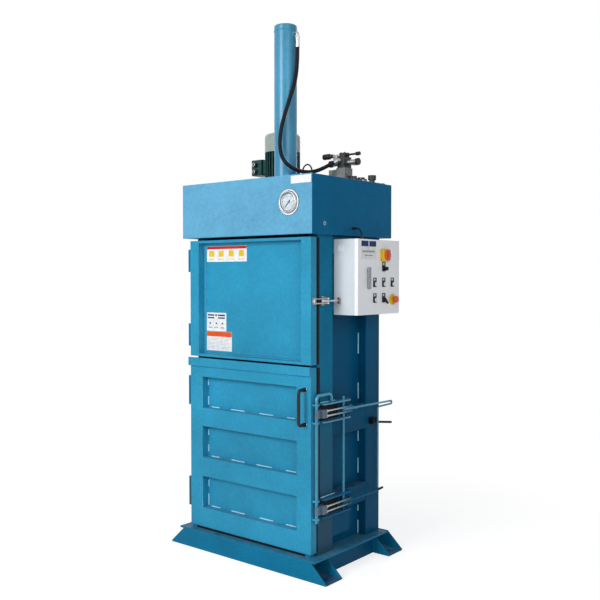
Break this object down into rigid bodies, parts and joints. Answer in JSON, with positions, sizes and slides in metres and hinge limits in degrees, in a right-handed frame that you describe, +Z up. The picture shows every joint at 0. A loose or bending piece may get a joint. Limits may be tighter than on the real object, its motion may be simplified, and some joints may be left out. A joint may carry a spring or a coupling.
{
  "type": "recycling baler",
  "caption": "Vertical hydraulic baler: welded press chamber with upper and lower doors, ram cylinder and power unit on a sheet head, side control box and toggle lock.",
  "frame": {"origin": "on the floor, in the middle of the four anchor holes", "axes": "+X to the machine's right, +Y to its back, +Z up along the press stroke"},
  "size_m": [1.2123, 0.769, 3],
  "materials": {
    "base_blue": "semi-gloss blue enamel",
    "body_blue": "semi-gloss blue enamel",
    "door_blue": "semi-gloss blue enamel",
    "cover_blue": "semi-gloss blue enamel",
    "cylinder_blue": "semi-gloss blue enamel",
    "motor_green": "semi-gloss enamel on castings",
    "cowl_grey": "semi-gloss enamel on pressed steel",
    "box_grey": "fine textured powder coat",
    "zinc_steel": "bright zinc plated steel",
    "plain_steel": "machined steel",
    "chrome_rod": "polished hard chrome",
    "cast_black": "black painted castings",
    "black_plastic": "moulded black plastic",
    "black_rubber": "smooth black rubber",
    "red_plastic": "moulded red plastic",
    "orange_plastic": "moulded red-orange plastic",
    "yellow_plastic": "moulded yellow plastic",
    "white_plastic": "moulded white plastic",
    "aluminium_block": "machined aluminium"
  },
  "bodies": {
    "root": {"base_frame": "base_blue", "base_plate": "base_blue", "chamber_floor": "plain_steel", "chamber_walls": "body_blue", "corner_posts": "body_blue", "wall_ribs": "body_blue", "door_hinges": "door_blue", "lock_brackets": "body_blue", "lever_rest": "black_rubber", "latch_base": "zinc_steel", "head_frame": "body_blue", "head_cover": "cover_blue", "cylinder_barrel": "cylinder_blue", "cylinder_gland": "plain_steel", "oil_tank": "body_blue", "tank_lid": "cover_blue", "tank_breather": "black_plastic", "motor_body": "motor_green", "motor_cowl": "cowl_grey", "motor_terminal_box": "motor_green", "pump": "plain_steel", "valve_manifold": "aluminium_block", "directional_valve": "cast_black", "solenoids": "zinc_steel", "hose_fittings": "zinc_steel", "lower_port_pipe": "zinc_steel", "gauge_case": "plain_steel", "control_box": "box_grey", "panel_electrics": "white_plastic", "cable_glands": "black_plastic", "fasteners": "zinc_steel", "main_hose": "black_rubber", "gauge_line": "black_rubber", "box_cable": "black_rubber"},
    "press_ram": {"platen": "body_blue", "piston_rod": "chrome_rod", "piston": "plain_steel"},
    "lower_door": {"lower_door": "door_blue", "door_handle": "black_plastic", "catch_bar": "door_blue"},
    "upper_door": {"upper_door": "door_blue", "latch_keeper": "zinc_steel"},
    "lock_lever": {"lock_lever": "body_blue", "lever_grip": "black_rubber"},
    "lock_hooks": {"lock_hooks": "zinc_steel"},
    "latch_lever": {"latch_lever": "zinc_steel"},
    "latch_bail": {"latch_bail": "zinc_steel"},
    "motor_rotor": {"motor_rotor": "plain_steel"},
    "gauge_needle": {"gauge_needle": "black_plastic"},
    "box_door": {"box_door": "box_grey", "control_fronts": "black_plastic", "yellow_plates": "yellow_plastic"},
    "selector_lever": {"selector_lever": "black_plastic"},
    "main_switch_knob": {"main_switch_knob": "red_plastic"},
    "e_stop_button": {"e_stop_button": "orange_plastic"},
    "box_lock_handle": {"box_lock_handle": "black_plastic"},
    "push_button_1": {"push_button_1": "white_plastic"},
    "push_button_2": {"push_button_2": "white_plastic"},
    "push_button_3": {"push_button_3": "white_plastic"},
    "push_button_4": {"push_button_4": "white_plastic"}
  },
  "joints": [
    {"name": "press_stroke", "type": "slide", "parent": "root", "child": "press_ram", "axis": [0, 0, -1], "range_m": [0, 1]},
    {"name": "lower_door_hinge", "type": "hinge", "parent": "root", "child": "lower_door", "pos_m": [-0.458, -0.27, 0.6], "axis": [0, 0, -1], "range_deg": [0, 170]},
    {"name": "upper_door_hinge", "type": "hinge", "parent": "root", "child": "upper_door", "pos_m": [-0.458, -0.27, 1.44], "axis": [0, 0, -1], "range_deg": [0, 170]},
    {"name": "lock_lever_pivot", "type": "hinge", "parent": "root", "child": "lock_lever", "pos_m": [0.468, -0.07, 0.6], "axis": [0, 0, -1], "range_deg": [0, 100]},
    {"name": "lock_hook_pivot", "type": "hinge", "parent": "lock_lever", "child": "lock_hooks", "pos_m": [0.47, -0.01, 0.6], "axis": [0, 0, -1], "range_deg": [-100, 0]},
    {"name": "latch_lever_pivot", "type": "hinge", "parent": "root", "child": "latch_lever", "pos_m": [0.458, -0.24, 1.44], "axis": [0, 0, -1], "range_deg": [0, 100]},
    {"name": "latch_bail_pivot", "type": "hinge", "parent": "latch_lever", "child": "latch_bail", "pos_m": [0.467, -0.206, 1.44], "axis": [0, 0, -1], "range_deg": [-100, 0]},
    {"name": "motor_spin", "type": "hinge", "parent": "root", "child": "motor_rotor", "pos_m": [-0.215, 0.232, 2.3], "axis": [0, 0, 1], "continuous": true},
    {"name": "gauge_needle_turn", "type": "hinge", "parent": "root", "child": "gauge_needle", "pos_m": [0.324, -0.356, 1.952], "axis": [0, 1, 0], "range_deg": [0, 270]},
    {"name": "box_door_hinge", "type": "hinge", "parent": "root", "child": "box_door", "pos_m": [0.588, 0.2795, 1.564], "axis": [0, 0, 1], "range_deg": [0, 110]},
    {"name": "selector_turn", "type": "hinge", "parent": "box_door", "child": "selector_lever", "pos_m": [0.606, 0.117, 1.442], "axis": [1, 0, 0], "range_deg": [0, 90]},
    {"name": "main_switch_turn", "type": "hinge", "parent": "box_door", "child": "main_switch_knob", "pos_m": [0.61, 0.117, 1.683], "axis": [1, 0, 0], "range_deg": [0, 90]},
    {"name": "e_stop_press", "type": "slide", "parent": "box_door", "child": "e_stop_button", "axis": [-1, 0, 0], "range_m": [0, 0.005], "stiffness_N_per_m": 800},
    {"name": "box_lock_turn", "type": "hinge", "parent": "box_door", "child": "box_lock_handle", "pos_m": [0.605, -0.034, 1.599], "axis": [-1, 0, 0], "range_deg": [0, 90]},
    {"name": "button_1_press", "type": "slide", "parent": "box_door", "child": "push_button_1", "axis": [-1, 0, 0], "range_m": [0, 0.004], "stiffness_N_per_m": 500},
    {"name": "button_2_press", "type": "slide", "parent": "box_door", "child": "push_button_2", "axis": [-1, 0, 0], "range_m": [0, 0.004], "stiffness_N_per_m": 500},
    {"name": "button_3_press", "type": "slide", "parent": "box_door", "child": "push_button_3", "axis": [-1, 0, 0], "range_m": [0, 0.004], "stiffness_N_per_m": 500},
    {"name": "button_4_press", "type": "slide", "parent": "box_door", "child": "push_button_4", "axis": [-1, 0, 0], "range_m": [0, 0.004], "stiffness_N_per_m": 500}
  ],
  "couplings": [
    {"joint": "lock_hook_pivot", "follows": "lock_lever_pivot", "ratio": -1},
    {"joint": "latch_bail_pivot", "follows": "latch_lever_pivot", "ratio": -1}
  ]
}
